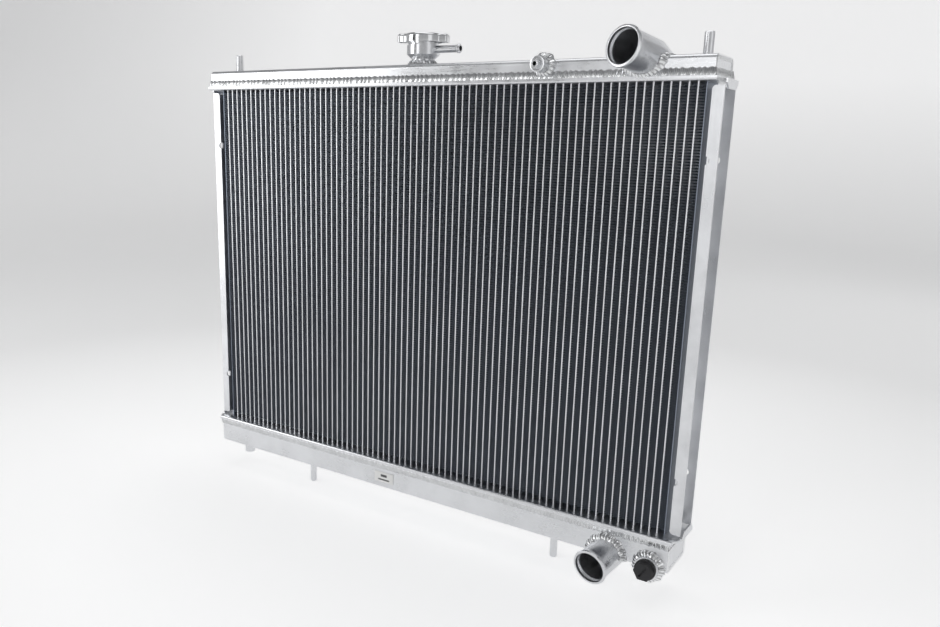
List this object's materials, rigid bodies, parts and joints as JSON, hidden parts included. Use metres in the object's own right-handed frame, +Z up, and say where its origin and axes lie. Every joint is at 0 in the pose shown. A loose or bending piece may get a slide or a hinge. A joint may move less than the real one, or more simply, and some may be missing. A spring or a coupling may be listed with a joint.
{
  "type": "car radiator",
  "caption": "Downflow aluminium car radiator with welded tanks, finned tube core, side channels, hose necks, pressure cap, bleed fitting and drain plug.",
  "frame": {"origin": "centre of the flat underside of the lower tank, midway between its ends and its walls", "axes": "+X along the width, to the right seen from the fittings side; -Y is the fittings side, which the hose necks point to; +Z up, from the lower tank to the upper tank"},
  "size_m": [0.714, 0.1015, 0.6201],
  "materials": {
    "mill_sheet": "mill finish with a light brush along the length",
    "tank_sheet": "mill finish, satin",
    "tube_metal": "dull brazed",
    "fin_foil": "thin dark foil, louvred",
    "channel_metal": "dull brazed",
    "turned_metal": "turned, fine rings",
    "weld_metal": "bright rippled weld bead",
    "plate_coating": "semi-gloss off-white",
    "cap_steel": "polished plate with light scuffs",
    "spring_steel": "drawn wire",
    "brass": "machined",
    "seal_rubber": "matt",
    "black_plastic": "moulded, slightly glossy"
  },
  "bodies": {
    "root": {"upper_header": "mill_sheet", "lower_header": "mill_sheet", "upper_tank": "tank_sheet", "lower_tank": "tank_sheet", "upper_end_plate_left": "tank_sheet", "upper_end_plate_right": "tank_sheet", "lower_end_plate_left": "tank_sheet", "lower_end_plate_right": "tank_sheet", "front_tube_row": "tube_metal", "rear_tube_row": "tube_metal", "fin_strips": "fin_foil", "end_sheet_left": "fin_foil", "end_sheet_right": "fin_foil", "side_channel_left": "channel_metal", "side_channel_right": "channel_metal", "filler_neck": "turned_metal", "overflow_nipple": "turned_metal", "inlet_neck": "turned_metal", "outlet_neck": "turned_metal", "bleed_boss": "turned_metal", "bleed_nipple": "turned_metal", "drain_boss": "turned_metal", "lower_threaded_boss": "turned_metal", "top_pin_left": "turned_metal", "top_pin_right": "turned_metal", "bottom_pin_left": "turned_metal", "bottom_pin_right": "turned_metal", "upper_seam_weld": "weld_metal", "lower_seam_weld": "weld_metal", "upper_end_welds": "weld_metal", "lower_end_welds": "weld_metal", "inlet_weld": "weld_metal", "outlet_weld": "weld_metal", "bleed_weld": "weld_metal", "drain_weld": "weld_metal", "filler_weld": "weld_metal", "threaded_boss_weld": "weld_metal", "data_plate": "plate_coating"},
    "cap_carrier": {"cap_rivet": "cap_steel", "cap_diaphragm": "cap_steel", "cap_gasket": "seal_rubber", "cap_valve_cage": "cap_steel"},
    "cap": {"cap_shell": "cap_steel"},
    "pressure_valve": {"pressure_plate": "cap_steel", "pressure_seal": "seal_rubber", "pressure_spring": "spring_steel"},
    "vacuum_valve": {"vacuum_valve": "brass", "vacuum_clip": "cap_steel", "vacuum_spring": "spring_steel"},
    "drain_seal": {"drain_seal": "seal_rubber"},
    "drain_plug": {"drain_plug": "black_plastic"}
  },
  "joints": [
    {"name": "cap_lift", "type": "slide", "parent": "root", "child": "cap_carrier", "axis": [0, 0, 1], "range_m": [0, 0.0025]},
    {"name": "cap_turn", "type": "hinge", "parent": "cap_carrier", "child": "cap", "pos_m": [-0.0095, 0, 0.579], "axis": [0, 0, 1], "range_deg": [0, 90]},
    {"name": "pressure_valve_lift", "type": "slide", "parent": "cap_carrier", "child": "pressure_valve", "axis": [0, 0, 1], "range_m": [0, 0.003], "stiffness_N_per_m": 8000, "springref_m": -0.006, "deforming": ["pressure_spring"]},
    {"name": "vacuum_valve_drop", "type": "slide", "parent": "pressure_valve", "child": "vacuum_valve", "axis": [0, 0, -1], "range_m": [0, 0.0015], "stiffness_N_per_m": 150, "springref_m": -0.002, "deforming": ["vacuum_spring"]},
    {"name": "drain_seal_out", "type": "slide", "parent": "root", "child": "drain_seal", "axis": [0, -1, 0], "range_m": [0, 0.009]},
    {"name": "drain_plug_turn", "type": "hinge", "parent": "drain_seal", "child": "drain_plug", "pos_m": [0.3265, -0.0395, 0.004], "axis": [0, -1, 0], "range_deg": [0, 2160]}
  ],
  "couplings": [
    {"joint": "cap_lift", "follows": "cap_turn", "m_per_rad": 0.0015915},
    {"joint": "drain_seal_out", "follows": "drain_plug_turn", "m_per_rad": 0.00023873}
  ]
}
